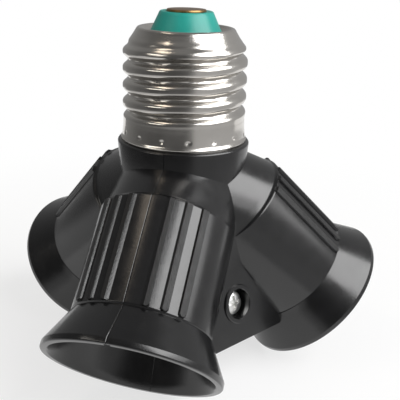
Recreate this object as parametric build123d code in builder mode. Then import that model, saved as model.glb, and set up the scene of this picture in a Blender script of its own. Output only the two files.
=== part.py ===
from build123d import *
import math
import os

# Three-way lamp socket adapter, in millimetres and degrees.
# The origin lies on the upright axis, where the screw cap stands on the collar.

# Layout of the three sockets
socket_count = 3
socket_tilt = 45.0
socket_cross = 5.95
seam_gap = 0.12

# Screw cap: thin plated sheet, at the size over the crests of the common 27 mm lamp thread
cap_radius = 13.2
cap_height = 23.2
cap_corner = 2.4
cap_sheet = 0.3

# Insulating cone and contact button on top of the cap
cone_base_radius = 7.3
cone_top_radius = 5.3
cone_height = 3.8
cone_clearance = 0.1
cone_flange_width = 1.6
cone_flange_thickness = 1.2
button_radius = 4.6
button_thickness = 0.5

# Collar, and the spigot that the cap is crimped on
collar_ledge = 1.0
collar_edge = 0.5
collar_draft = 4.5
collar_depth = 11.0
spigot_height = 5.6
spigot_clearance = 0.04

# Socket: distances along its axis start where the three axes meet
bulb_thread_radius = 13.2
tube_wall = 0.97
tube_start = 14.6
tube_length = 23.6
tube_lift = 0.3
shoulder_radius = 13.6
shoulder_length = 9.0
shoulder_step = 0.6
shoulder_fall = 21.0
flare_length = 8.6
flare_spread = 3.9
rim_width = 1.55
seam_slot_width = 1.0
seam_slot_skin = 0.6

# Grip ribs beside the seam of each socket
rib_angles = (15.3, 29.6, 43.9)
rib_width = 1.7
rib_height = 0.5
rib_root = 0.3
rib_margin = 0.3

# Web between two sockets, with its sunk screw
web_top_radius = 16.4
web_top_depth = 15.0
web_apex_depth = 25.6
web_bottom_depth = 41.4
web_lean = 14.2
web_thickness = 1.6
web_half_width = 13.0
boss_depth = 33.3
boss_radius = 4.25
ring_height = 0.4
counterbore_radius = 3.2
head_sink = 1.5
head_radius = 2.6
head_height = 1.8
recess_length = 3.2
recess_width = 0.8
recess_depth = 1.0
screw_radius = 1.5
screw_grip = 4.0
screw_clearance = 0.1
thread_clearance = 0.02
tip_clearance = 0.3

# Centre block that the screws hold
block_face = 6.0
block_radius = 6.4
block_top_depth = 33.0
block_bottom_depth = 41.0

# Insert of each socket: disc, screw shell, tongue and conductors
ledge_start = 18.6
base_thickness = 2.0
base_clearance = 0.05
liner_sheet = 0.2
liner_clearance = 0.03
liner_end_gap = 0.3
liner_tab_width = 4.0
liner_tab_end = 6.2
liner_leg_inset = 0.6
liner_leg_spare = 0.4
strip_sheet = 0.4
tongue_width = 6.0
tongue_foot_start = -7.5
tongue_foot_end = -2.8
tongue_rise = 3.6
tongue_run = 5.3
tongue_flat = 3.0
tongue_lip = 1.0
bridge_width = 3.0
bridge_hub_radius = 3.2
bridge_hub_height = 3.0
riser_width = 1.6
riser_clearance = 0.1
neutral_width = 3.0
neutral_foot_length = 2.6
neutral_gap = 0.25
channel_start = 4.5
channel_width = 10.0
channel_floor = 16.0

# Sizes that follow from the ones above
turn = 360 / socket_count
tilt = math.radians(socket_tilt)
cap_hole_radius = cone_base_radius + cone_clearance
cone_seat = cap_height - cap_sheet
cone_flange_reach = cone_base_radius + cone_flange_width
button_seat = cap_height + cone_height
collar_radius = cap_radius + collar_ledge
collar_fall = (collar_depth - collar_edge) * math.tan(math.radians(collar_draft))
spigot_radius = cap_radius - cap_sheet - spigot_clearance
liner_radius = bulb_thread_radius + liner_sheet
bore_radius = liner_radius + liner_clearance
tube_radius = bore_radius + tube_wall
tube_end = tube_start + tube_length
rim_radius = tube_radius + flare_spread
rim_end = tube_end + flare_length
shoulder_outer = tube_radius + tube_lift - shoulder_step
fall = math.radians(shoulder_fall)
base_end = ledge_start + base_thickness
liner_start = base_end + tongue_rise + strip_sheet + liner_leg_spare
liner_end = tube_end - liner_end_gap
lean = math.radians(web_lean)
boss_reach = web_top_radius + (boss_depth - web_apex_depth) * math.tan(lean)
screw_cross = boss_depth + boss_reach * math.tan(lean)
screw_reach = boss_reach / math.cos(lean) + ring_height
boss_length = screw_reach - block_face
head_seat = head_sink + head_height
screw_length = boss_length - head_seat + screw_grip
neutral_riser_place = cone_flange_reach + neutral_gap
collar_bore_reach = neutral_riser_place + strip_sheet + neutral_gap
neutral_place = liner_tab_end + neutral_foot_length
channel_reach = neutral_place + neutral_gap


def outward(azimuth):
    """Level direction away from the upright axis, 0 towards the front socket."""
    angle = math.radians(azimuth)
    return Vector(math.sin(angle), -math.cos(angle), 0)


def socket_directions(index):
    """Axis of a socket, out of its mouth, and the direction to its outer line."""
    away = outward(turn * index)
    axis = away * math.sin(tilt) - Vector(0, 0, math.cos(tilt))
    outer = away * math.cos(tilt) + Vector(0, 0, math.sin(tilt))
    return axis, outer


def socket_centre():
    return Vector(0, 0, -socket_cross)


def socket_plane(index, along):
    """Plane across a socket, with x to its outer line."""
    axis, outer = socket_directions(index)
    return Plane(origin=socket_centre() + axis * along, x_dir=outer, z_dir=axis)


def socket_section(index):
    """Plane through a socket's axis: x is the radius to its outer line, y the distance along the axis."""
    axis, outer = socket_directions(index)
    return Plane(origin=socket_centre(), x_dir=outer, z_dir=outer.cross(axis))


def shoulder_plane(index):
    """Plane across a socket's shoulder, where the middle of the shoulder enters the tube."""
    axis, outer = socket_directions(index)
    middle = shoulder_outer - shoulder_radius / math.cos(fall)
    origin = socket_centre() + axis * tube_start + outer * middle
    return Plane(origin=origin, x_dir=outer, z_dir=axis * math.cos(fall) + outer * math.sin(fall))


def socket_axis(index):
    axis, _ = socket_directions(index)
    return Axis(socket_centre(), axis)


def web_section(azimuth):
    """Upright plane through a web: x is the radius from the upright axis, y the height."""
    away = outward(azimuth)
    return Plane(origin=(0, 0, 0), x_dir=away, z_dir=away.cross(Vector(0, 0, 1)))


def screw_plane(azimuth, reach):
    """Plane across a web screw, at a distance out from the point where the screws' axes meet."""
    away = outward(azimuth)
    normal = away * math.cos(lean) + Vector(0, 0, math.sin(lean))
    level = Vector(0, 0, 1).cross(away)
    return Plane(origin=Vector(0, 0, -screw_cross) + normal * reach, x_dir=level, z_dir=normal)


def save(part, name):
    part.label = name
    export_step(part, f"parts/{name}.step")


def save_around(part, name):
    """Write one copy of a piece for each socket."""
    for index in range(socket_count):
        with BuildPart() as copy:
            add(part, rotation=(0, 0, turn * index))
        save(copy.part, f"{name}_{index + 1}")


os.makedirs("parts", exist_ok=True)

# Screw cap: a drawn can, open below, with a hole in its top
with BuildPart() as screw_cap:
    with BuildSketch():
        Circle(cap_radius)
    extrude(amount=cap_height)
    chamfer(screw_cap.edges().group_by(Axis.Z)[-1], length=cap_corner)
    offset(
        amount=-cap_sheet,
        openings=screw_cap.faces().sort_by(Axis.Z)[0],
        kind=Kind.INTERSECTION,
    )
    with BuildSketch(Plane.XY.offset(cap_height)):
        Circle(cap_hole_radius)
    extrude(amount=-cap_sheet, mode=Mode.SUBTRACT)
save(screw_cap.part, "screw_cap")

# Insulating cone: it stands out through the hole, on a flange whose flats clear the neutral strips
with BuildPart() as cap_insulator:
    with BuildSketch(Plane.XY.offset(cone_seat)):
        RegularPolygon(cone_flange_reach, 2 * socket_count, major_radius=False)
    extrude(amount=-cone_flange_thickness)
    with BuildSketch(Plane.XZ):
        with BuildLine():
            Polyline(
                (0, cone_seat),
                (cone_base_radius, cone_seat),
                (cone_base_radius, cap_height),
                (cone_top_radius, button_seat),
                (0, button_seat),
                close=True,
            )
        make_face()
    revolve(axis=Axis.Z)
    with BuildSketch(Plane.XY.offset(button_seat)):
        Rectangle(riser_width + 2 * riser_clearance, riser_width + 2 * riser_clearance)
    extrude(amount=cone_seat - cone_flange_thickness - button_seat, mode=Mode.SUBTRACT)
save(cap_insulator.part, "cap_insulator")

# Contact button: a disc on the cone
with BuildPart() as cap_contact:
    with BuildSketch(Plane.XY.offset(button_seat)):
        Circle(button_radius)
    extrude(amount=button_thickness)
save(cap_contact.part, "cap_contact")

# Body shell: a third of the collar, half of the sockets on both sides, and the web between them
with BuildPart() as body_shell:
    with BuildSketch(Plane.XZ):
        with BuildLine():
            Polyline(
                (0, -collar_depth),
                (collar_radius - collar_fall, -collar_depth),
                (collar_radius, -collar_edge),
                (collar_radius - collar_edge, 0),
                (spigot_radius, 0),
                (spigot_radius, spigot_height),
                (0, spigot_height),
                close=True,
            )
        make_face()
    revolve(axis=Axis.Z)

    for index in range(2):
        # Shoulder: a cylinder tipped over, so that it falls from the tube towards the collar
        with BuildSketch(shoulder_plane(index)):
            Circle(shoulder_radius)
        extrude(amount=shoulder_length, both=True)
        split(bisect_by=socket_plane(index, tube_start), keep=Keep.BOTTOM)

    for index in range(2):
        # Tube: a cylinder set a little towards the outer line, so that it stands proud there
        with BuildSketch(socket_plane(index, tube_start)):
            with Locations((tube_lift, 0)):
                Circle(tube_radius)
        extrude(amount=tube_length)
        # Flare
        with BuildSketch(socket_section(index)):
            with BuildLine():
                Polyline(
                    (0, tube_end),
                    (tube_radius, tube_end),
                    (rim_radius, rim_end),
                    (0, rim_end),
                    close=True,
                )
            make_face()
        revolve(axis=socket_axis(index))

    # Web: a leaning plate whose top runs out between the tubes, with a ring and a post for its screw
    web_foot_radius = web_top_radius + (web_bottom_depth - web_apex_depth) * math.tan(lean)
    with BuildSketch(web_section(turn / 2)):
        with BuildLine():
            Polyline(
                (web_top_radius, -web_top_depth),
                (web_top_radius, -web_apex_depth),
                (web_foot_radius, -web_bottom_depth),
                (web_foot_radius - web_thickness, -web_bottom_depth),
                (web_top_radius - web_thickness, -web_apex_depth),
                (web_top_radius - web_thickness, -web_top_depth),
                close=True,
            )
        make_face()
    extrude(amount=web_half_width, both=True)
    with BuildSketch(screw_plane(turn / 2, screw_reach)):
        Circle(boss_radius)
    extrude(amount=-ring_height - web_thickness)
    with BuildSketch(screw_plane(turn / 2, screw_reach - ring_height)):
        RegularPolygon(boss_radius, 6)
    extrude(amount=ring_height - boss_length)

    # Room inside for the conductors: a six-sided well in the collar and a channel to each socket
    with BuildSketch(Plane.XY.offset(spigot_height)):
        RegularPolygon(collar_bore_reach, 2 * socket_count, major_radius=False)
    extrude(amount=-spigot_height - channel_floor, mode=Mode.SUBTRACT)
    for index in range(2):
        with BuildSketch(socket_plane(index, channel_start)):
            Rectangle(2 * channel_reach, channel_width)
        extrude(amount=ledge_start - channel_start, mode=Mode.SUBTRACT)

    # Bore for the insert, from its ledge to the mouth
    for index in range(2):
        with BuildSketch(socket_section(index)):
            with BuildLine():
                Polyline(
                    (0, ledge_start),
                    (bore_radius, ledge_start),
                    (bore_radius, tube_end),
                    (rim_radius - rim_width, rim_end),
                    (0, rim_end),
                    close=True,
                )
            make_face()
        revolve(axis=socket_axis(index), mode=Mode.SUBTRACT)

    # Slot inside the flare, where the two halves of a socket meet
    for index in range(2):
        with BuildSketch(socket_section(index)):
            with BuildLine():
                Polyline(
                    (bore_radius - seam_slot_skin, tube_end),
                    (tube_radius - seam_slot_skin, tube_end),
                    (rim_radius - seam_slot_skin, rim_end),
                    (bore_radius - seam_slot_skin, rim_end),
                    close=True,
                )
            make_face()
        extrude(amount=seam_slot_width / 2, both=True, mode=Mode.SUBTRACT)

    # Screw hole, sunk for the head
    with Locations(screw_plane(turn / 2, screw_reach)):
        CounterBoreHole(
            radius=screw_radius + screw_clearance,
            counter_bore_radius=counterbore_radius,
            counter_bore_depth=head_seat,
            depth=boss_length,
        )

    # Grip ribs on the side of each socket that this shell carries: the wall towards the seam leans as the
    # mould is drawn off, away from the upright axis
    pull = outward(turn / 2)
    rib_middle = tube_start + tube_length / 2
    rib_length = tube_length - 2 * rib_margin
    for index, side in ((0, 1), (1, -1)):
        axis, outer = socket_directions(index)
        across = outer.cross(axis) * side
        pull_angle = math.atan2(pull.dot(across), pull.dot(outer))
        for rib_angle in rib_angles:
            angle = math.radians(rib_angle)
            radial = outer * math.cos(angle) + across * math.sin(angle)
            beside = across * math.cos(angle) - outer * math.sin(angle)
            centre = socket_centre() + axis * rib_middle + outer * tube_lift
            rib_section = Plane(
                origin=centre + radial * tube_radius, x_dir=beside, z_dir=beside.cross(radial)
            )
            with BuildSketch(rib_section):
                with BuildLine():
                    Polyline(
                        (-rib_width / 2, -rib_root),
                        (-rib_width / 2, 0),
                        (rib_height * math.tan(pull_angle - angle) - rib_width / 2, rib_height),
                        (rib_width / 2, rib_height),
                        (rib_width / 2, -rib_root),
                        close=True,
                    )
                make_face()
            extrude(amount=rib_length / 2, both=True)

    # Parting: the shell keeps the sector between the upright planes through its two sockets
    sector_middle = outward(turn / 2)
    sector_apex = sector_middle * (seam_gap / 2 / math.sin(math.radians(turn / 2)))
    sector_reach = 2 * (socket_cross + rim_end + rim_radius)
    with BuildSketch(Plane.XY.offset(-sector_reach)):
        with BuildLine():
            Polyline(
                sector_apex,
                sector_apex + outward(0) * sector_reach,
                sector_apex + sector_middle * sector_reach,
                sector_apex + outward(turn) * sector_reach,
                close=True,
            )
        make_face()
    extrude(amount=2 * sector_reach, mode=Mode.INTERSECT)
save_around(body_shell.part, "body_shell")

# Screws: a round head with a cross recess, sunk in the web, and a shank that ends in the block
with BuildPart() as screw:
    with BuildSketch(screw_plane(turn / 2, screw_reach - head_seat)):
        Circle(head_radius)
    extrude(amount=head_height)
    with BuildSketch(screw_plane(turn / 2, screw_reach - head_sink)):
        Rectangle(recess_length, recess_width)
        Rectangle(recess_width, recess_length)
    extrude(amount=-recess_depth, mode=Mode.SUBTRACT)
    with BuildSketch(screw_plane(turn / 2, screw_reach - head_seat)):
        Circle(screw_radius)
    extrude(amount=-screw_length)
with BuildPart() as shell_screws:
    for index in range(socket_count):
        add(screw.part, rotation=(0, 0, turn * index))
save(shell_screws.part, "shell_screws")

# Centre block: a six-sided post with a leaning flat and a threaded hole for each screw
with BuildPart() as screw_block:
    with BuildSketch(Plane.XY.offset(-block_bottom_depth)):
        RegularPolygon(block_radius, 2 * socket_count)
    extrude(amount=block_bottom_depth - block_top_depth)
    for index in range(socket_count):
        split(bisect_by=screw_plane(turn * (index + 0.5), block_face), keep=Keep.BOTTOM)
    for index in range(socket_count):
        with BuildSketch(screw_plane(turn * (index + 0.5), block_face)):
            Circle(screw_radius + thread_clearance)
        extrude(amount=-screw_grip - tip_clearance, mode=Mode.SUBTRACT)
save(screw_block.part, "screw_block")

# Insulating disc of a socket: it seats on the ledge and carries the contacts
with BuildPart() as contact_base:
    with BuildSketch(socket_plane(0, ledge_start)):
        Circle(bore_radius - base_clearance)
    extrude(amount=base_thickness)
save_around(contact_base.part, "contact_base")

# Screw shell that takes the bulb: it stands on two folded legs beside the tongue, one turned in as a tab
with BuildPart() as socket_liner:
    with BuildSketch(socket_plane(0, liner_start)):
        Circle(liner_radius)
        Circle(bulb_thread_radius, mode=Mode.SUBTRACT)
    extrude(amount=liner_end - liner_start)
    leg_outer = math.sqrt(liner_radius**2 - (liner_tab_width / 2) ** 2)
    leg_inner = bulb_thread_radius - liner_leg_inset
    with BuildSketch(socket_section(0)):
        with BuildLine():
            Polyline(
                (leg_outer, liner_start),
                (leg_inner, liner_start),
                (leg_inner, base_end + liner_sheet),
                (liner_tab_end, base_end + liner_sheet),
                (liner_tab_end, base_end),
                (leg_inner + liner_sheet, base_end),
                (leg_inner + liner_sheet, liner_start - liner_sheet),
                (leg_outer, liner_start - liner_sheet),
                close=True,
            )
        make_face()
        with BuildLine():
            Polyline(
                (-leg_outer, liner_start),
                (-leg_inner, liner_start),
                (-leg_inner, base_end),
                (-leg_inner - liner_sheet, base_end),
                (-leg_inner - liner_sheet, liner_start - liner_sheet),
                (-leg_outer, liner_start - liner_sheet),
                close=True,
            )
        make_face()
    extrude(amount=liner_tab_width / 2, both=True)
save_around(socket_liner.part, "socket_liner")

# Contact tongue: a sprung strip, fixed at its foot
with BuildPart() as contact_tongue:
    crest_start = tongue_foot_end + tongue_run
    crest_end = crest_start + tongue_flat
    with BuildSketch(socket_section(0)):
        with BuildLine():
            Polyline(
                (tongue_foot_start, base_end),
                (tongue_foot_end, base_end),
                (crest_start, base_end + tongue_rise),
                (crest_end, base_end + tongue_rise),
                (crest_end + tongue_lip, base_end + tongue_rise - tongue_lip),
            )
            offset(amount=strip_sheet, side=Side.LEFT, kind=Kind.INTERSECTION)
        make_face()
    extrude(amount=tongue_width / 2, both=True)
save_around(contact_tongue.part, "contact_tongue")

# Live bridge: three folded arms from the discs to a hub, and a riser to the contact button
with BuildPart() as live_bridge:
    hub_depth = socket_cross + channel_start / math.cos(tilt)
    for index in range(socket_count):
        with BuildSketch(socket_section(index)):
            with BuildLine():
                Polyline(
                    (tongue_foot_start, ledge_start),
                    (tongue_foot_end, ledge_start),
                    (tongue_foot_end, channel_start),
                    (tongue_foot_end - strip_sheet, channel_start),
                    (tongue_foot_end - strip_sheet, ledge_start - strip_sheet),
                    (tongue_foot_start, ledge_start - strip_sheet),
                    close=True,
                )
            make_face()
        extrude(amount=bridge_width / 2, both=True)
    with BuildSketch(Plane.XY.offset(-hub_depth)):
        RegularPolygon(bridge_hub_radius, 2 * socket_count)
    extrude(amount=bridge_hub_height)
    with BuildSketch(Plane.XY.offset(-hub_depth)):
        Rectangle(riser_width, riser_width)
    extrude(amount=hub_depth + button_seat)
save(live_bridge.part, "live_bridge")

# Neutral strip: from under the disc up inside the collar to the underside of the cap's top
with BuildPart() as neutral_strip:
    strip_inner = neutral_place - strip_sheet
    bend_along = neutral_riser_place / math.sin(tilt) - strip_inner / math.tan(tilt)
    section = socket_section(0)
    top_point = section.to_local_coords(outward(0) * neutral_riser_place + Vector(0, 0, cone_seat))
    with BuildSketch(section):
        with BuildLine():
            Polyline(
                (strip_inner, ledge_start - strip_sheet),
                (strip_inner, bend_along),
                (top_point.X, top_point.Y),
            )
            offset(amount=strip_sheet, side=Side.LEFT, kind=Kind.INTERSECTION)
        make_face()
        with BuildLine():
            Polyline(
                (liner_tab_end, ledge_start),
                (neutral_place, ledge_start),
                (neutral_place, ledge_start - strip_sheet),
                (liner_tab_end, ledge_start - strip_sheet),
                close=True,
            )
        make_face()
    extrude(amount=neutral_width / 2, both=True)
save_around(neutral_strip.part, "neutral_strip")
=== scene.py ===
import bmesh
import bpy
import math
from mathutils import Matrix, Vector


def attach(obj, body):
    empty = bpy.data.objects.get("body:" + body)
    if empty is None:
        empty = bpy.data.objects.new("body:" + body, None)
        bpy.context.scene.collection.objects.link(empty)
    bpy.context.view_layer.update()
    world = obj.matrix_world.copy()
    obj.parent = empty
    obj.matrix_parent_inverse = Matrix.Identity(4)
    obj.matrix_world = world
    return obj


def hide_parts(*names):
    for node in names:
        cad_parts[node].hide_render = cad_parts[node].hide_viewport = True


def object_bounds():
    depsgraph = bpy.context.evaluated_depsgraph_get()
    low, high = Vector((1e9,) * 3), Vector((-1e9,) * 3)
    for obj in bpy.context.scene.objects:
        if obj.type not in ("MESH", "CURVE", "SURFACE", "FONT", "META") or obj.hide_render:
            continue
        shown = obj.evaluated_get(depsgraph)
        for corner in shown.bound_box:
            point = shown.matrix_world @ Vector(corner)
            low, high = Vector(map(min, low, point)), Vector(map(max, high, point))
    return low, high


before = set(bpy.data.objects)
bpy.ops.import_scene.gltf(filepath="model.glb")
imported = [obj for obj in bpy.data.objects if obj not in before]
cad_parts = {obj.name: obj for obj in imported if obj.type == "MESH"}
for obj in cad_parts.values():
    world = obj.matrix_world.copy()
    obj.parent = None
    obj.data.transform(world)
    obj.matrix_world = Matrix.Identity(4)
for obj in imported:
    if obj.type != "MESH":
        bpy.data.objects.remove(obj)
cad_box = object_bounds()

# Studio: a pale floor that runs out into a white backdrop, two soft boxes on the right and two small warm
# ones on the left. A tent of grey cloth, dark towards the front, is seen in reflections only.
scene = bpy.context.scene
scene.view_settings.view_transform = "Standard"
camera_place = Vector((0.04497, -0.15597, 0.04087))
camera_turn = math.radians(14.66)
camera_fall = math.radians(18.767)
camera_roll = math.radians(1.829)
camera_data = bpy.data.cameras.new("camera")
camera_data.sensor_width = 36
camera_data.lens = 68.73
camera_data.clip_start = 0.01
camera = bpy.data.objects.new("camera", camera_data)
camera.matrix_world = (
    Matrix.Translation(camera_place)
    @ Matrix.Rotation(camera_turn, 4, "Z")
    @ Matrix.Rotation(math.radians(90) - camera_fall, 4, "X")
    @ Matrix.Rotation(camera_roll, 4, "Z")
)
scene.collection.objects.link(camera)
scene.camera = camera


def outward(azimuth):
    """Level direction away from the upright axis, 0 towards the front socket."""
    return Vector((math.sin(azimuth), -math.cos(azimuth), 0))


def joined(tree, kind, links, **settings):
    """Add a node, set its options, and feed its inputs from other nodes' outputs or with fixed values."""
    node = tree.nodes.new(kind)
    for option, value in settings.items():
        setattr(node, option, value)
    for socket, source in links.items():
        if isinstance(source, bpy.types.NodeSocket):
            tree.links.new(source, node.inputs[socket])
        else:
            node.inputs[socket].default_value = source
    return node


def seen_directly(tree):
    """1 where the camera, a mirror or glass looks at the surface, and 0 where it only gives light."""
    path = tree.nodes.new("ShaderNodeLightPath").outputs
    either = joined(
        tree, "ShaderNodeMath", {0: path["Is Camera Ray"], 1: path["Is Glossy Ray"]}, operation="MAXIMUM"
    )
    return joined(
        tree, "ShaderNodeMath", {0: either.outputs[0], 1: path["Is Transmission Ray"]}, operation="MAXIMUM"
    ).outputs[0]


world = bpy.data.worlds.new("studio")
world.use_nodes = True
scene.world = world
room_light = 0.28
room_seen = joined(
    world.node_tree,
    "ShaderNodeMapRange",
    {"Value": seen_directly(world.node_tree), "To Min": room_light, "To Max": 1.0},
)
backdrop = world.node_tree.nodes["Background"]
backdrop.inputs["Color"].default_value = (1.0, 1.0, 1.0, 1.0)
world.node_tree.links.new(room_seen.outputs["Result"], backdrop.inputs["Strength"])


box_distance = 0.9


def soft_box(name, azimuth, elevation, width, height, radiance, colour):
    """A lamp panel that faces the adapter from a direction, with the same brightness at any size."""
    lamp = bpy.data.lights.new(name, "AREA")
    lamp.shape = "RECTANGLE"
    lamp.size = width
    lamp.size_y = height
    lamp.color = colour
    lamp.energy = radiance * math.pi * width * height
    panel = bpy.data.objects.new(name, lamp)
    direction = outward(math.radians(azimuth)) * math.cos(math.radians(elevation))
    direction.z = math.sin(math.radians(elevation))
    panel.location = direction * box_distance
    panel.rotation_euler = direction.to_track_quat("Z", "Y").to_euler()
    scene.collection.objects.link(panel)


white_light = (1.0, 1.0, 1.0)
soft_box("right_box", 81, 42, 0.92, 0.6, 5.6, white_light)
soft_box("low_box", 82, 16, 0.8, 0.2, 2.4, white_light)
soft_box("warm_box", -56, 62, 0.34, 0.16, 2.6, (1.0, 0.86, 0.7))
soft_box("left_box", -42, 28, 0.5, 0.16, 3.0, (1.0, 0.95, 0.87))

floor_height = cad_box[0].z
floor_reach = 3.0
floor_mesh = bpy.data.meshes.new("floor")
floor_signs = ((-1, -1), (1, -1), (1, 1), (-1, 1))
floor_corners = [(x * floor_reach, y * floor_reach, floor_height) for x, y in floor_signs]
floor_mesh.from_pydata(floor_corners, [], [(0, 1, 2, 3)])
floor = bpy.data.objects.new("floor", floor_mesh)
scene.collection.objects.link(floor)
floor_material = bpy.data.materials.new("pale_floor")
floor_material.use_nodes = True
floor_mesh.materials.append(floor_material)
floor_tree = floor_material.node_tree
floor_shader = floor_tree.nodes["Principled BSDF"]
floor_shader.inputs["Base Color"].default_value = (0.93, 0.93, 0.93, 1.0)
floor_shader.inputs["Roughness"].default_value = 0.9
floor_shader.inputs["Specular IOR Level"].default_value = 0.0
floor_place = floor_tree.nodes.new("ShaderNodeNewGeometry").outputs["Position"]
floor_distance = joined(floor_tree, "ShaderNodeVectorMath", {0: floor_place}, operation="LENGTH")
shadow_reach = 0.09
white_from = 0.2
floor_far = joined(
    floor_tree,
    "ShaderNodeMapRange",
    {
        "Value": floor_distance.outputs["Value"],
        "From Min": shadow_reach,
        "From Max": white_from,
        "To Min": 0.7,
    },
    interpolation_type="SMOOTHSTEP",
)
floor_white = joined(
    floor_tree,
    "ShaderNodeMath",
    {0: floor_far.outputs["Result"], 1: seen_directly(floor_tree)},
    operation="MULTIPLY",
)
floor_glow = joined(floor_tree, "ShaderNodeEmission", {"Color": (1.0, 1.0, 1.0, 1.0), "Strength": 1.0})
floor_mix = joined(
    floor_tree,
    "ShaderNodeMixShader",
    {0: floor_white.outputs[0], 1: floor_shader.outputs[0], 2: floor_glow.outputs[0]},
)
floor_tree.links.new(floor_mix.outputs[0], floor_tree.nodes["Material Output"].inputs["Surface"])

cloth_shades = [(-180, 0.36), (-130, 0.27), (-75, 0.13), (-40, 0.09), (18, 0.09), (28, 0.2)]
cloth_shades += [(38, 0.5), (120, 0.48), (150, 0.42), (180, 0.38)]
cloth_above = 0.2
cloth_below = 0.6
cloth_azimuths = [math.radians(angle) for angle in range(-180, 181, 6)]
cloth_near = 0.06
cloth_lift = 0.001
bare_floor = math.radians(125)
tent_radius = 1.3
cloth_line = [(0.3, floor_height + 0.01), (0.8, 0.05)]
for elevation in range(10, 91, 10):
    rise = math.radians(elevation)
    cloth_line.append((tent_radius * math.cos(rise), tent_radius * math.sin(rise)))
cloth_points = []
for azimuth in cloth_azimuths:
    near = cloth_near if abs(azimuth) < bare_floor else cloth_line[0][0]
    column = [(near, floor_height + cloth_lift)] + cloth_line
    cloth_points += [outward(azimuth) * reach + Vector((0, 0, height)) for reach, height in column]
cloth_rows = len(cloth_line) + 1
cloth_faces = []
for column in range(len(cloth_azimuths) - 1):
    for row in range(cloth_rows - 1):
        corner = column * cloth_rows + row
        cloth_faces.append((corner, corner + cloth_rows, corner + cloth_rows + 1, corner + 1))
cloth_mesh = bpy.data.meshes.new("dark_cloth")
cloth_mesh.from_pydata(cloth_points, [], cloth_faces)
cloth = bpy.data.objects.new("dark_cloth", cloth_mesh)
scene.collection.objects.link(cloth)
cloth.visible_camera = False
cloth.visible_diffuse = False
cloth.visible_shadow = False
cloth.visible_transmission = False
cloth_material = bpy.data.materials.new("dark_cloth")
cloth_material.use_nodes = True
cloth_mesh.materials.append(cloth_material)
cloth_tree = cloth_material.node_tree
cloth_place = cloth_tree.nodes.new("ShaderNodeNewGeometry").outputs["Position"]
cloth_axes = joined(cloth_tree, "ShaderNodeSeparateXYZ", {0: cloth_place}).outputs
cloth_front = joined(cloth_tree, "ShaderNodeMath", {0: cloth_axes["Y"], 1: -1.0}, operation="MULTIPLY")
cloth_angle = joined(
    cloth_tree, "ShaderNodeMath", {0: cloth_axes["X"], 1: cloth_front.outputs[0]}, operation="ARCTAN2"
)


def cloth_ramp(value, first, last, marks):
    """Shades that run from one mark to the next along a value."""
    spread = {"Value": value, "From Min": first, "From Max": last}
    share = joined(cloth_tree, "ShaderNodeMapRange", spread)
    ramp = joined(cloth_tree, "ShaderNodeValToRGB", {"Fac": share.outputs["Result"]})
    stops = ramp.color_ramp.elements
    for place, _ in marks[1:-1]:
        stops.new((place - first) / (last - first))
    for stop, (place, level) in zip(stops, marks):
        stop.color = (level, level, level, 1.0)
    return ramp.outputs["Color"]


round_marks = [(math.radians(angle), level) for angle, level in cloth_shades]
cloth_round = cloth_ramp(cloth_angle.outputs[0], -math.pi, math.pi, round_marks)
cloth_way = joined(cloth_tree, "ShaderNodeVectorMath", {0: cloth_place}, operation="NORMALIZE").outputs[0]
cloth_rise = joined(cloth_tree, "ShaderNodeSeparateXYZ", {0: cloth_way}).outputs["Z"]
wall_marks = [(-1, 0), (-0.38, 0), (-0.24, 1), (0.72, 1), (0.88, 0), (1, 0)]
wall_share = cloth_ramp(cloth_rise, -1, 1, wall_marks)
end_marks = [(-1, cloth_below), (0, cloth_below), (0.5, cloth_above), (1, cloth_above)]
cloth_end = cloth_ramp(cloth_rise, -1, 1, end_marks)
cloth_shade = joined(
    cloth_tree,
    "ShaderNodeMix",
    {"Factor": wall_share, "A": cloth_end, "B": cloth_round},
    data_type="RGBA",
)
cloth_shader = cloth_tree.nodes["Principled BSDF"]
cloth_shader.inputs["Base Color"].default_value = (0.0, 0.0, 0.0, 1.0)
cloth_shader.inputs["Specular IOR Level"].default_value = 0.0
cloth_shader.inputs["Emission Color"].default_value = (1.0, 1.0, 1.0, 1.0)
cloth_tree.links.new(cloth_shade.outputs["Result"], cloth_shader.inputs["Emission Strength"])

# Body shells: three like mouldings of glossy black plastic, each a third of the collar with half of the
# sockets on both sides and the web between them. They meet on the outer line of each socket.
mm = 0.001
socket_count = 3
third = 2 * math.pi / socket_count
socket_tilt = math.radians(45)
axes_cross = Vector((0, 0, -5.95 * mm))
seam_half_gap = 0.06 * mm
seam_round = 0.07 * mm
shoulder_start = 4.5 * mm
shoulder_radius = 14.1 * mm
shoulder_fall = math.radians(21)
shoulder_outer = 14.1 * mm
shoulder_wall = 1.8 * mm
tube_start = 14.6 * mm
tube_end = 38.2 * mm
tube_radius = 14.4 * mm
tube_lift = 0.3 * mm
land_lean = 1.5
rib_angles = [math.radians(angle) for angle in (15.3, 29.6, 43.9)]
rib_half_width = 0.85 * mm
rib_height = 0.5 * mm
rib_margin = 0.3 * mm
rib_slope = 4.0
mould_pull = math.radians(67.8)
flare_end = 45.6 * mm
rim_end = 46.8 * mm
rim_radius = 18.3 * mm
rim_round = 0.35 * mm
mouth_radius = 16.75 * mm
bore_radius = 13.43 * mm
ledge_along = 18.6 * mm
ledge_reach = 10.5 * mm
slot_half_angle = math.radians(1.75)
slot_skin = 0.6 * mm


def socket_frame(azimuth):
    """Axis of a socket out of its mouth, the direction to its outer line, and the level one across."""
    axis = outward(azimuth) * math.sin(socket_tilt) - Vector((0, 0, math.cos(socket_tilt)))
    outer = outward(azimuth) * math.cos(socket_tilt) + Vector((0, 0, math.sin(socket_tilt)))
    return axis, outer, outer.cross(axis)


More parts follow.
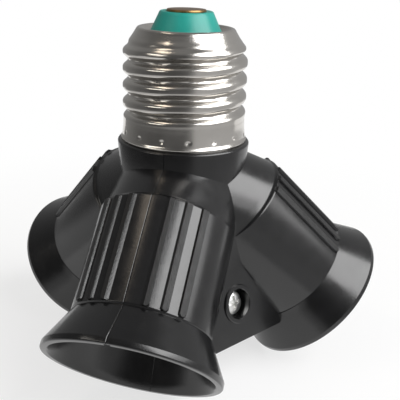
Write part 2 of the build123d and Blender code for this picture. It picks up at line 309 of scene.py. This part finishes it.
def shoulder_surface(along, angle):
    """Radius of the tipped cylinder that falls from the tube to the collar."""
    long_radius = shoulder_radius / math.cos(shoulder_fall)
    middle = shoulder_outer - long_radius - (tube_start - along) * math.tan(shoulder_fall)
    square = (math.cos(angle) / long_radius) ** 2 + (math.sin(angle) / shoulder_radius) ** 2
    linear = math.cos(angle) * middle / long_radius**2
    return (linear + math.sqrt(linear**2 - square * ((middle / long_radius) ** 2 - 1))) / square


def tube_surface(angle):
    """Radius of the tube, which is set a little towards the outer line."""
    return tube_lift * math.cos(angle) + math.sqrt(tube_radius**2 - (tube_lift * math.sin(angle)) ** 2)


def eased(value):
    """Smooth step from 0 to 1."""
    value = min(max(value, 0), 1)
    return value * value * (3 - 2 * value)


def rib_rise(along, angle):
    """Height of the grip ribs, with round ends and one wall that leans as the mould was drawn off."""
    highest = 0
    for rib_angle in rib_angles:
        across = (angle - rib_angle) * tube_radius
        first = tube_start + rib_margin + rib_half_width
        last = tube_end - rib_margin - rib_half_width
        past_end = max(first - along, along - last, 0)
        inside = (rib_half_width - math.hypot(past_end, across)) * rib_slope
        leaning = (rib_half_width + across) / math.tan(mould_pull - rib_angle)
        highest = max(highest, min(rib_height, inside, leaning))
    return highest


def flare_surface(along):
    """Radius of the flare, a cone from the end of the tube to the rim."""
    return tube_radius + (rim_radius - tube_radius) * (along - tube_end) / (flare_end - tube_end)


def socket_surface(along, angle):
    """Outer radius of a socket, without its ribs."""
    if along < tube_start:
        return shoulder_surface(along, angle)
    if along < tube_end:
        return tube_surface(angle)
    return min(flare_surface(along), rim_radius)


def steps(first, last, count):
    """Evenly spaced values with both ends among them."""
    return [first + (last - first) * index / count for index in range(count + 1)]


def socket_profile(angle):
    """Closed section of a socket's wall at one angle, as places along the axis and radii."""
    land = tube_surface(angle)
    profile = [(along, shoulder_surface(along, angle)) for along in steps(shoulder_start, tube_start, 8)]
    first_step = land - shoulder_surface(tube_start, angle)
    last_step = land - flare_surface(tube_end)
    for part in (0.2, 0.4, 0.6, 0.8):
        along = tube_start + land_lean * abs(first_step) * part
        profile.append((along, land - first_step * (1 - eased(part))))
    end_zone = rib_margin + 1.6 * rib_half_width
    land_stations = steps(tube_start + land_lean * abs(first_step), tube_start + end_zone, 16)
    land_stations += steps(tube_start + end_zone, tube_end - end_zone, 10)[1:-1]
    land_stations += steps(tube_end - end_zone, tube_end - land_lean * abs(last_step), 16)
    profile += [(along, land + rib_rise(along, angle)) for along in land_stations]
    for part in (0.8, 0.6, 0.4, 0.2):
        along = tube_end - land_lean * abs(last_step) * part
        profile.append((along, land - last_step * (1 - eased(part))))
    profile += [(along, flare_surface(along)) for along in steps(tube_end, flare_end, 5)]
    for turn in steps(0, math.pi / 2, 4):
        place = rim_end - rim_round + rim_round * math.sin(turn)
        profile.append((place, rim_radius - rim_round + rim_round * math.cos(turn)))
    outer_count = len(profile)
    inner = [(rim_end, mouth_radius + 0.5 * rim_round), (rim_end - 0.5 * rim_round, mouth_radius)]
    inner += [
        (along, bore_radius + (mouth_radius - bore_radius) * (along - tube_end) / (rim_end - tube_end))
        for along in steps(rim_end - rim_round, tube_end, 5)
    ]
    if angle < slot_half_angle:
        inner = [(along, max(radius, socket_surface(along, angle) - slot_skin)) for along, radius in inner]
    profile += inner
    profile += [(ledge_along, bore_radius), (ledge_along, ledge_reach)]
    for along in steps(tube_start, shoulder_start, 5):
        profile.append((along, min(ledge_reach, shoulder_surface(along, angle) - shoulder_wall)))
    if angle == 0 or angle == math.pi:
        profile[:outer_count] = [(along, radius - seam_round) for along, radius in profile[:outer_count]]
    return profile


def section_angles():
    """Angles round half a socket, close together at the seam and at the walls of the ribs."""
    marks = [0, seam_round / tube_radius, slot_half_angle - 0.0005, slot_half_angle + 0.0005]
    for rib_angle in rib_angles:
        leaning = rib_height * math.tan(mould_pull - rib_angle) - rib_half_width
        steep = rib_half_width - rib_height / rib_slope
        stops = steps(-rib_half_width, leaning, 3) + steps(leaning, steep, 5)[1:] + [rib_half_width]
        marks += [rib_angle + stop / tube_radius for stop in stops]
    marks += [math.pi - seam_round / tube_radius, math.pi]
    marks.sort()
    angles = []
    for first, last in zip(marks, marks[1:]):
        parts = math.ceil((last - first) / math.radians(3))
        angles += [first + (last - first) * part / parts for part in range(parts)]
    return angles + [math.pi]


def loft(bm, loops, wrap):
    """Skin a row of closed loops, either as a ring or with both ends closed."""
    rows = [[bm.verts.new(point) for point in loop] for loop in loops]
    pairs = list(zip(rows, rows[1:]))
    if wrap:
        pairs.append((rows[-1], rows[0]))
    for near, far in pairs:
        count = len(near)
        for index in range(count):
            after = (index + 1) % count
            bm.faces.new((near[index], near[after], far[after], far[index]))
    if not wrap:
        bm.faces.new(rows[0][::-1])
        bm.faces.new(rows[-1])


def revolve(bm, profile, origin, axis, segments):
    """Turn a closed profile of radii and heights into a ring about an axis."""
    across = axis.orthogonal().normalized()
    beside = axis.cross(across)
    loops = []
    for index in range(segments):
        angle = 2 * math.pi * index / segments
        radial = across * math.cos(angle) + beside * math.sin(angle)
        loops.append([origin + radial * radius + axis * height for radius, height in profile])
    loft(bm, loops, True)


def add_piece(name, bm, materials, slot, *replaced):
    """Close a mesh into a piece of the adapter with its finish, and hide the solids that it stands for."""
    bmesh.ops.remove_doubles(bm, verts=bm.verts, dist=0.002 * mm)
    bmesh.ops.dissolve_degenerate(bm, edges=bm.edges, dist=0.001 * mm)
    bmesh.ops.recalc_face_normals(bm, faces=bm.faces)
    mesh = bpy.data.meshes.new(name)
    bm.to_mesh(mesh)
    bm.free()
    for material in materials:
        mesh.materials.append(material)
    mesh.shade_smooth()
    mesh.set_sharp_from_angle(angle=math.radians(24))
    piece = bpy.data.objects.new(name, mesh)
    scene.collection.objects.link(piece)
    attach(piece, "root")
    if replaced:
        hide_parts(*replaced)
    return piece


def half_socket(azimuth, side):
    """Half of a socket, cut off where it meets the next one."""
    axis, outer, across = socket_frame(azimuth)
    bm = bmesh.new()
    loops = []
    for angle in section_angles():
        radial = outer * math.cos(angle) + across * (side * math.sin(angle))
        start = axes_cross + across * (side * seam_half_gap)
        loops.append([start + axis * along + radial * radius for along, radius in socket_profile(angle)])
    loft(bm, loops, False)
    for face in bm.faces:
        place = face.calc_center_median() - axes_cross
        angle = math.atan2(side * place.dot(across), place.dot(outer))
        radius = math.hypot(place.dot(across), place.dot(outer))
        on_top = rib_rise(place.dot(axis), angle) > 0.95 * rib_height
        if on_top and radius > tube_radius:
            face.material_index = 1
    bmesh.ops.remove_doubles(bm, verts=bm.verts, dist=0.002 * mm)
    everything = bm.verts[:] + bm.edges[:] + bm.faces[:]
    middle = outward(azimuth + side * (third / 2 + math.pi / 2))
    cut = bmesh.ops.bisect_plane(bm, geom=everything, plane_co=(0, 0, 0), plane_no=middle, clear_outer=True)
    rim_edges = [item for item in cut["geom_cut"] if isinstance(item, bmesh.types.BMEdge)]
    bmesh.ops.triangle_fill(bm, edges=rim_edges, use_beauty=True)
    return bm


collar_depth = 11 * mm
collar_draft = math.radians(4.5)
collar_radius = 14.2 * mm
collar_round = 0.5 * mm
collar_bore = 11.4 * mm
spigot_radius = 12.5 * mm
spigot_height = 5.4 * mm


def collar_third(bm, azimuth):
    """A third of the collar, with the spigot that the cap is pressed on."""
    foot = collar_radius - collar_depth * math.tan(collar_draft)
    profile = [(collar_bore, spigot_height), (spigot_radius, spigot_height), (spigot_radius, 0)]
    for turn in steps(0, math.pi / 2, 4):
        profile.append((
            collar_radius - collar_round + collar_round * math.sin(turn),
            -collar_round + collar_round * math.cos(turn),
        ))
    profile += [(foot, -collar_depth), (collar_bore, -collar_depth)]
    start = outward(azimuth + third / 2) * (seam_half_gap / math.sin(third / 2))
    loops = [
        [start + outward(angle) * radius + Vector((0, 0, height)) for radius, height in profile]
        for angle in steps(azimuth, azimuth + third, 60)
    ]
    loft(bm, loops, False)


web_radius = 16.4 * mm
web_top = -15.0 * mm
web_bend = -25.6 * mm
web_foot = -41.4 * mm
web_lean = math.radians(14.2)
web_sheet = 1.6 * mm
web_bury = 0.5 * mm
screw_height = -33.3 * mm
ring_radius = 4.25 * mm
ring_height = 0.4 * mm
ring_round = 0.16 * mm
sink_radius = 3.2 * mm
sink_depth = 3.3 * mm
screw_hole = 1.65 * mm
post_radius = 3.9 * mm
post_length = 13.3 * mm
screw_out = web_radius + (web_bend - screw_height) * math.tan(web_lean)
web_spokes = 240
plate_limit = 30 * mm
strip_limit = 13 * mm
boss_bury = 0.8 * web_sheet


def clear_of_sockets(out, level, height):
    """How far a point near a web stands off the socket beside it, with level towards that socket."""
    away = out * math.cos(third / 2) + level * math.sin(third / 2)
    across = out * math.sin(third / 2) - level * math.cos(third / 2)
    rise = height - axes_cross.z
    along = away * math.sin(socket_tilt) - rise * math.cos(socket_tilt)
    up = away * math.cos(socket_tilt) + rise * math.sin(socket_tilt)
    return math.hypot(up, across) - socket_surface(along, math.atan2(across, up))


def reach_into_socket(start, way, limit):
    """Distance at which a line, given by out, level and height, runs just inside a socket's wall."""
    near, far = 0, limit
    for _ in range(30):
        middle = (near + far) / 2
        place = [first + middle * change for first, change in zip(start, way)]
        if clear_of_sockets(*place) > -web_bury:
            near = middle
        else:
            far = middle
    return near


def web_frame(azimuth):
    """Centre of a web's screw, with the directions out of the web's face, level and down it."""
    away = outward(azimuth)
    face = away * math.cos(web_lean) + Vector((0, 0, math.sin(web_lean)))
    slope = away * math.sin(web_lean) - Vector((0, 0, math.cos(web_lean)))
    return away * screw_out + Vector((0, 0, screw_height)), face, outward(azimuth + math.pi / 2), slope


def web(bm, azimuth):
    """Leaning plate round a sunk screw, the strip above it, and the post that the screw passes."""
    centre, face, level, slope = web_frame(azimuth)
    plate = []
    hole = (ring_radius + sink_radius) / 2
    for index in range(web_spokes):
        angle = 2 * math.pi * index / web_spokes
        sideways = math.cos(angle)
        down = math.sin(angle)
        limit = plate_limit
        if down < 0:
            limit = min(limit, (screw_height - web_bend) / (down * math.cos(web_lean)))
        if down > 0:
            limit = min(limit, (screw_height - web_foot) / (down * math.cos(web_lean)))
        way = (down * math.sin(web_lean), abs(sideways), -down * math.cos(web_lean))
        edge = reach_into_socket((screw_out, 0, screw_height), way, limit)
        ray = level * sideways + slope * down
        near, far = centre + ray * hole, centre + ray * edge
        plate.append([near, far, far - face * web_sheet, near - face * web_sheet])
    loft(bm, plate, True)

    strip = []
    for height in steps(web_top, web_bend - web_sheet, 24):
        half = reach_into_socket((web_radius, 0, height), (0, 1, 0), strip_limit)
        front = outward(azimuth) * web_radius + Vector((0, 0, height))
        back = front - outward(azimuth) * web_sheet
        strip.append([front - level * half, front + level * half, back + level * half, back - level * half])
    loft(bm, strip, False)

    boss = [(screw_hole, ring_height - post_length), (post_radius, ring_height - post_length)]
    boss += [(post_radius, -boss_bury), (ring_radius, -boss_bury)]
    boss += [(ring_radius, ring_height - ring_round), (ring_radius - ring_round, ring_height)]
    boss += [(sink_radius + ring_round, ring_height), (sink_radius, ring_height - ring_round)]
    boss += [(sink_radius, ring_height - sink_depth), (screw_hole, ring_height - sink_depth)]
    revolve(bm, boss, centre, face, 96)


def grained(name, dark, light, grain_size, shine, bump):
    """A shader with a fine grain: two shades, a roughness that wanders between two values, and a bump."""
    material = bpy.data.materials.new(name)
    material.use_nodes = True
    tree = material.node_tree
    shader = tree.nodes["Principled BSDF"]
    place = tree.nodes.new("ShaderNodeTexCoord").outputs["Object"]
    cloud = joined(tree, "ShaderNodeTexNoise", {"Vector": place, "Scale": 0.12 / grain_size, "Detail": 4.0})
    grain = joined(tree, "ShaderNodeTexNoise", {"Vector": place, "Scale": 1 / grain_size, "Detail": 3.0})
    shade = joined(
        tree,
        "ShaderNodeMix",
        {"Factor": cloud.outputs["Fac"], "A": (*dark, 1.0), "B": (*light, 1.0)},
        data_type="RGBA",
    )
    spread = {"From Min": 0.3, "From Max": 0.7, "To Min": shine[0], "To Max": shine[1]}
    rough = joined(tree, "ShaderNodeMapRange", {"Value": cloud.outputs["Fac"], **spread})
    height = {"Height": grain.outputs["Fac"], "Strength": bump, "Distance": grain_size}
    relief = joined(tree, "ShaderNodeBump", height)
    tree.links.new(shade.outputs["Result"], shader.inputs["Base Color"])
    tree.links.new(rough.outputs["Result"], shader.inputs["Roughness"])
    tree.links.new(relief.outputs["Normal"], shader.inputs["Normal"])
    return material, shader


black_plastic, black_shader = grained(
    "black_plastic", (0.004, 0.004, 0.0043), (0.007, 0.007, 0.0075), 0.35 * mm, (0.17, 0.24), 0.035
)
black_shader.inputs["IOR"].default_value = 1.62
matt_ribs, _ = grained(
    "matt_ribs", (0.004, 0.004, 0.0043), (0.009, 0.009, 0.0095), 0.3 * mm, (0.42, 0.55), 0.5
)

for number in range(socket_count):
    shell_azimuth = number * third
    shell = half_socket(shell_azimuth, 1)
    other_half = half_socket(shell_azimuth + third, -1)
    carried = bpy.data.meshes.new("other_half")
    other_half.to_mesh(carried)
    other_half.free()
    shell.from_mesh(carried)
    bpy.data.meshes.remove(carried)
    collar_third(shell, shell_azimuth)
    web(shell, shell_azimuth + third / 2)
    finishes = (black_plastic, matt_ribs)
    add_piece(f"shell_{number + 1}", shell, finishes, "black_plastic", f"body_shell_{number + 1}")

# Centre block: a small moulding of the same plastic between the sockets. The screws of the three webs
# run into it, which holds the shells together.
block_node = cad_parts["screw_block"]
block_node.data.materials.clear()
block_node.data.materials.append(black_plastic)

# Web screws: zinc-plated steel with a low domed head and a cross recess, pressed in by a punch. Each is
# sunk in a ring on its web and cuts its own thread in the centre block.
head_radius = 2.6 * mm
head_edge = 1.3 * mm
head_dome = 0.5 * mm
head_sink = 1.5 * mm
recess_half_length = 1.6 * mm
recess_half_width = 0.38 * mm
recess_wall = 0.16 * mm
recess_depth = 0.95 * mm
shank_radius = 1.45 * mm
shank_length = 14.0 * mm
thread_step = 1.0 * mm
thread_wave = 0.12 * mm
head_rings = 44
head_spokes = 144


def recess_cut(across, beside):
    """Depth of the cross recess, with walls that lean in towards its bottom."""
    level_arm = min(recess_half_length - abs(across), recess_half_width - abs(beside))
    upright_arm = min(recess_half_length - abs(beside), recess_half_width - abs(across))
    return recess_depth * eased(max(level_arm, upright_arm) / recess_wall)


screws = bmesh.new()
for number in range(socket_count):
    centre, face, level, slope = web_frame((number + 0.5) * third)
    head_top = centre + face * (ring_height - head_sink)
    loops = []
    for spoke in range(head_spokes):
        angle = 2 * math.pi * spoke / head_spokes
        radial = level * math.cos(angle) + slope * math.sin(angle)
        loop = []
        for radius in steps(0, 0.93 * head_radius, head_rings):
            fall = head_dome * (radius / head_radius) ** 2
            fall += recess_cut(radius * math.cos(angle), radius * math.sin(angle))
            loop.append(head_top + radial * radius - face * fall)
        loop.append(head_top + radial * head_radius - face * (1.4 * head_dome))
        loop.append(head_top + radial * head_radius - face * (head_dome + head_edge))
        loop.append(head_top + radial * shank_radius - face * (head_dome + head_edge))
        for height in steps(head_dome + head_edge + 0.2 * mm, shank_length, 60):
            wave = math.cos(2 * math.pi * height / thread_step + angle)
            loop.append(head_top + radial * (shank_radius - thread_wave * (1 + wave)) - face * height)
        loop.append(head_top - face * (shank_length + 0.5 * mm))
        loops.append(loop)
    loft(screws, loops, True)
zinc, zinc_shader = grained(
    "zinc_plate", (0.80, 0.80, 0.79), (0.90, 0.90, 0.88), 0.12 * mm, (0.26, 0.4), 0.08
)
zinc_shader.inputs["Metallic"].default_value = 1.0
add_piece("web_screws", screws, (zinc,), "bright_steel", "shell_screws")

# Contact bases: pale discs pressed from an insulating compound. Each seats on the ledge in a socket, behind
# the screw shell, and carries the contacts.
pale_base, _ = grained(
    "pale_base", (0.60, 0.57, 0.50), (0.72, 0.69, 0.62), 0.3 * mm, (0.45, 0.6), 0.12
)
for number in range(socket_count):
    base_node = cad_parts[f"contact_base_{number + 1}"]
    base_node.data.materials.clear()
    base_node.data.materials.append(pale_base)

# Screw shells of the sockets: thin nickel-plated sheet with the rolled thread that takes a bulb. Each
# stands on two folded legs on its disc, and one leg is turned in as a tab that a rivet holds.
disc_face = 20.6 * mm
liner_start = 25.0 * mm
liner_end = 37.9 * mm
liner_radius = 13.2 * mm
liner_sheet = 0.2 * mm
lamp_pitch = 3.629 * mm
lamp_thread_depth = 0.95 * mm
liner_spokes = 144
leg_lines = [
    [(13.25, 4.3), (12.7, 4.3), (12.7, 0.1), (6.2, 0.1)],
    [(-13.25, 4.3), (-12.7, 4.3), (-12.7, 0.0)],
]
leg_half_width = 2.0 * mm
leg_bend = 0.25 * mm
nickel, nickel_shader = grained(
    "nickel_plate", (0.60, 0.575, 0.54), (0.68, 0.655, 0.62), 0.5 * mm, (0.14, 0.24), 0.012
)
nickel_shader.inputs["Metallic"].default_value = 1.0


def rounded_line(corners, bend):
    """A folded line with its inner corners drawn round."""
    corners = [Vector(corner) * mm for corner in corners]
    points = [corners[0]]
    for before, corner, after in zip(corners, corners[1:], corners[2:]):
        start = corner + (before - corner).normalized() * bend
        end = corner + (after - corner).normalized() * bend
        for share in steps(0, 1, 5):
            points.append(start.lerp(corner, share).lerp(corner.lerp(end, share), share))
    return points + [corners[-1]]


def folded_strip(bm, azimuth, corners, bend, half_width, sheet):
    """Sheet strip bent along a line of places out from a socket's axis and heights over its disc."""
    axis, outer, across = socket_frame(azimuth)
    line = rounded_line(corners, bend)
    loops = []
    for index, point in enumerate(line):
        run = line[min(index + 1, len(line) - 1)] - line[max(index - 1, 0)]
        over = Vector((-run.y, run.x)).normalized() * (sheet / 2)
        loop = []
        for place, level in ((-1, -1), (-1, 1), (1, 1), (1, -1)):
            spot = point + over * place
            seat = axes_cross + axis * (disc_face + spot.y) + outer * spot.x
            loop.append(seat + across * (level * half_width))
        loops.append(loop)
    loft(bm, loops, False)


for number in range(socket_count):
    axis, outer, across = socket_frame(number * third)
    liner = bmesh.new()
    loops = []
    for spoke in range(liner_spokes):
        angle = 2 * math.pi * spoke / liner_spokes
        radial = outer * math.cos(angle) + across * math.sin(angle)
        wall = []
        for along in steps(liner_start, liner_end, 60):
            fade = eased((along - liner_start) / (1.5 * mm)) * eased((liner_end - along) / (1.6 * mm))
            wave = 0.5 - 0.5 * math.cos(2 * math.pi * along / lamp_pitch - angle)
            wall.append((along, liner_radius - lamp_thread_depth * wave * fade))
        profile = wall + [(along, radius + liner_sheet) for along, radius in reversed(wall)]
        loops.append([axes_cross + axis * along + radial * radius for along, radius in profile])
    loft(liner, loops, True)
    for leg_line in leg_lines:
        folded_strip(liner, number * third, leg_line, leg_bend, leg_half_width, liner_sheet)
    add_piece(f"screw_shell_{number + 1}", liner, (nickel,), "nickel", f"socket_liner_{number + 1}")

# Contact tongues: brass strip folded up over the middle of each disc, so that it springs against the
# bulb's foot. A rivet through its foot, and one through the tab beside it, hold the contacts to the disc.
strip_sheet = 0.4 * mm
tongue_line = [(-7.5, 0.2), (-2.9, 0.2), (2.4, 3.8), (5.5, 3.8), (6.4, 2.9)]
tongue_half_width = 3.0 * mm
tongue_bend = 0.9 * mm
rivet_radius = 1.2 * mm
rivet_height = 0.5 * mm
rivet_places = (-5.0 * mm, 7.9 * mm)
brass, brass_shader = grained(
    "brass_strip", (0.60, 0.43, 0.19), (0.72, 0.53, 0.26), 0.4 * mm, (0.22, 0.36), 0.05
)
brass_shader.inputs["Metallic"].default_value = 1.0

for number in range(socket_count):
    tongue = bmesh.new()
    folded_strip(tongue, number * third, tongue_line, tongue_bend, tongue_half_width, strip_sheet)
    add_piece(f"tongue_{number + 1}", tongue, (brass,), "brass", f"contact_tongue_{number + 1}")
    axis, outer, across = socket_frame(number * third)
    rivets = bmesh.new()
    for place, sheet in zip(rivet_places, (strip_sheet, liner_sheet)):
        dome = [(0, 0)]
        for turn in steps(0, math.pi / 2, 6):
            dome.append((rivet_radius * math.cos(turn), rivet_height * math.sin(turn)))
        seat = axes_cross + axis * (disc_face + sheet) + outer * place
        revolve(rivets, dome, seat, axis, 40)
    add_piece(f"rivets_{number + 1}", rivets, (brass,), "brass")

# Conductors: brass strip folded from the discs up through the collar, to the contact button for the live
# side and to the cap's sheet for the other.
for conductor in ["live_bridge"] + [f"neutral_strip_{number + 1}" for number in range(socket_count)]:
    conductor_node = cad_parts[conductor]
    conductor_node.data.materials.clear()
    conductor_node.data.materials.append(brass)

# Screw cap: one thin sheet of nickel-plated metal, drawn into a can and rolled with the lamp thread. Its
# foot is pressed over the collar's spigot, with a rolled bead and a ring of punched dents to hold it.
cap_sheet = 0.3 * mm
cap_crest = 13.2 * mm
cap_skirt = 13.05 * mm
cap_foot = 13.35 * mm
cap_thread_depth = 1.1 * mm
cap_thread_first = 6.4 * mm
cap_thread_last = 21.2 * mm
cap_crest_height = 8.58 * mm
cap_shoulder = [(13.2, 18.9), (13.0, 19.55), (12.65, 20.13), (12.16, 20.7), (11.3, 21.87), (10.6, 23.0)]
cap_lip = [(10.4, 23.38), (10.15, 23.62), (9.85, 23.7), (9.55, 23.6)]
cap_lip += [(9.2, 23.2), (8.6, 22.7), (7.7, 22.35)]
cap_spread_from = 4.6 * mm
cap_spread_run = 2.4 * mm
foot_run = 4 * mm
thread_run_out = 2 * mm
root_sharpness = 1.8
bead_height = 0.5 * mm
bead_width = 0.36 * mm
bead_swell = 0.26 * mm
dent_count = 15
dent_height = 2.0 * mm
dent_radius = 0.62 * mm
dent_depth = 0.24 * mm
dent_first = math.radians(20.4)


def cap_wall():
    """Radii and heights up the can's outside, as it was drawn and before the thread was rolled in."""
    wall = []
    for height in steps(0, cap_shoulder[0][1] * mm, 104)[:-1]:
        swell = bead_swell * math.exp(-(((height - bead_height) / bead_width) ** 2))
        swell += (cap_foot - cap_skirt) * eased(1 - height / foot_run)
        spread = (cap_crest - cap_skirt) * eased((height - cap_spread_from) / cap_spread_run)
        wall.append((cap_skirt + swell + spread, height))
    bend = [Vector(point) * mm for point in cap_shoulder + cap_lip]
    for first, last in zip(bend, bend[1:]):
        wall += [tuple(first.lerp(last, share)) for share in (0, 0.25, 0.5, 0.75)]
    return wall + [tuple(bend[-1])]


def cap_thread(height, azimuth):
    """How far the rolled thread pulls the sheet in at a height and an azimuth."""
    turns = (height - cap_crest_height) / lamp_pitch - azimuth / (2 * math.pi)
    fade = eased((height - cap_thread_first + lamp_pitch / 2) / thread_run_out)
    fade *= eased((cap_thread_last - height) / thread_run_out)
    return cap_thread_depth * fade * (0.5 - 0.5 * math.cos(2 * math.pi * turns)) ** root_sharpness


def cap_dent(height, azimuth):
    """Depth of the ring of punched dents near the foot."""
    step = 2 * math.pi / dent_count
    across = ((azimuth - dent_first + step / 2) % step - step / 2) * cap_skirt
    distance = math.hypot(across, height - dent_height)
    return dent_depth * eased(1 - distance / dent_radius)


cap_spokes = 264
screw_cap = bmesh.new()
loops = []
for spoke in range(cap_spokes):
    azimuth = 2 * math.pi * spoke / cap_spokes
    wall = []
    for radius, height in cap_wall():
        wall.append((radius - cap_thread(height, azimuth) - cap_dent(height, azimuth), height))
    profile = list(wall)
    for index in range(len(wall) - 1, -1, -1):
        before = wall[max(index - 1, 0)]
        after = wall[min(index + 1, len(wall) - 1)]
        run = Vector((after[0] - before[0], after[1] - before[1])).normalized()
        profile.append((wall[index][0] - run.y * cap_sheet, wall[index][1] + run.x * cap_sheet))
    loops.append([outward(azimuth) * radius + Vector((0, 0, height)) for radius, height in profile])
loft(screw_cap, loops, True)
add_piece("cap", screw_cap, (nickel,), "nickel", "screw_cap")

# Insulator: a cone of teal plastic that stands out through the hole in the cap's top. Its lip is drawn
# slightly round, with a seat for the contact button.
cone_foot = 22.3 * mm
cone_foot_radius = 7.75 * mm
cone_top = 27.0 * mm
cone_top_radius = 5.55 * mm
cone_round = 0.18 * mm
button_seat = cone_top - 0.1 * mm
button_radius = 4.25 * mm
upright = Vector((0, 0, 1))
teal_plastic, _ = grained(
    "teal_plastic", (0.010, 0.27, 0.225), (0.016, 0.34, 0.285), 0.4 * mm, (0.32, 0.42), 0.04
)
insulator = bmesh.new()
cone_profile = [(0, cone_foot), (cone_foot_radius, cone_foot)]
cone_slope = (cone_foot_radius - cone_top_radius) / (cone_top - cone_foot)
for height in steps(cone_foot, cone_top - cone_round, 8)[1:]:
    cone_profile.append((cone_top_radius + cone_slope * (cone_top - height), height))
cone_profile.append((cone_top_radius - 0.3 * cone_round, cone_top - 0.3 * cone_round))
cone_profile.append((cone_top_radius - cone_round, cone_top))
cone_profile += [(button_radius, button_seat), (0, button_seat)]
revolve(insulator, cone_profile, Vector(), upright, 144)
add_piece("insulator", insulator, (teal_plastic,), "green_plastic", "cap_insulator")

# Contact button: a disc of darkened brass, pressed with a slight dome. It lies in the seat on top of the
# insulator and is the lamp holder's live contact.
button_top = 27.5 * mm
button_edge = 0.2 * mm
button_gap = 0.05 * mm
button_dome = 0.14 * mm
dark_brass, dark_brass_shader = grained(
    "dark_brass", (0.20, 0.115, 0.045), (0.34, 0.21, 0.09), 0.5 * mm, (0.26, 0.42), 0.06
)
dark_brass_shader.inputs["Metallic"].default_value = 1.0
button = bmesh.new()
button_profile = [(0, button_seat), (button_radius - button_gap, button_seat)]
button_profile.append((button_radius - button_gap, cone_top + 0.5 * button_edge))
for radius in steps(button_radius - button_edge, 0, 10):
    button_profile.append((radius, button_top - button_dome * (radius / button_radius) ** 2))
revolve(button, button_profile, Vector(), upright, 96)
add_piece("contact_button", button, (dark_brass,), "brass", "cap_contact")
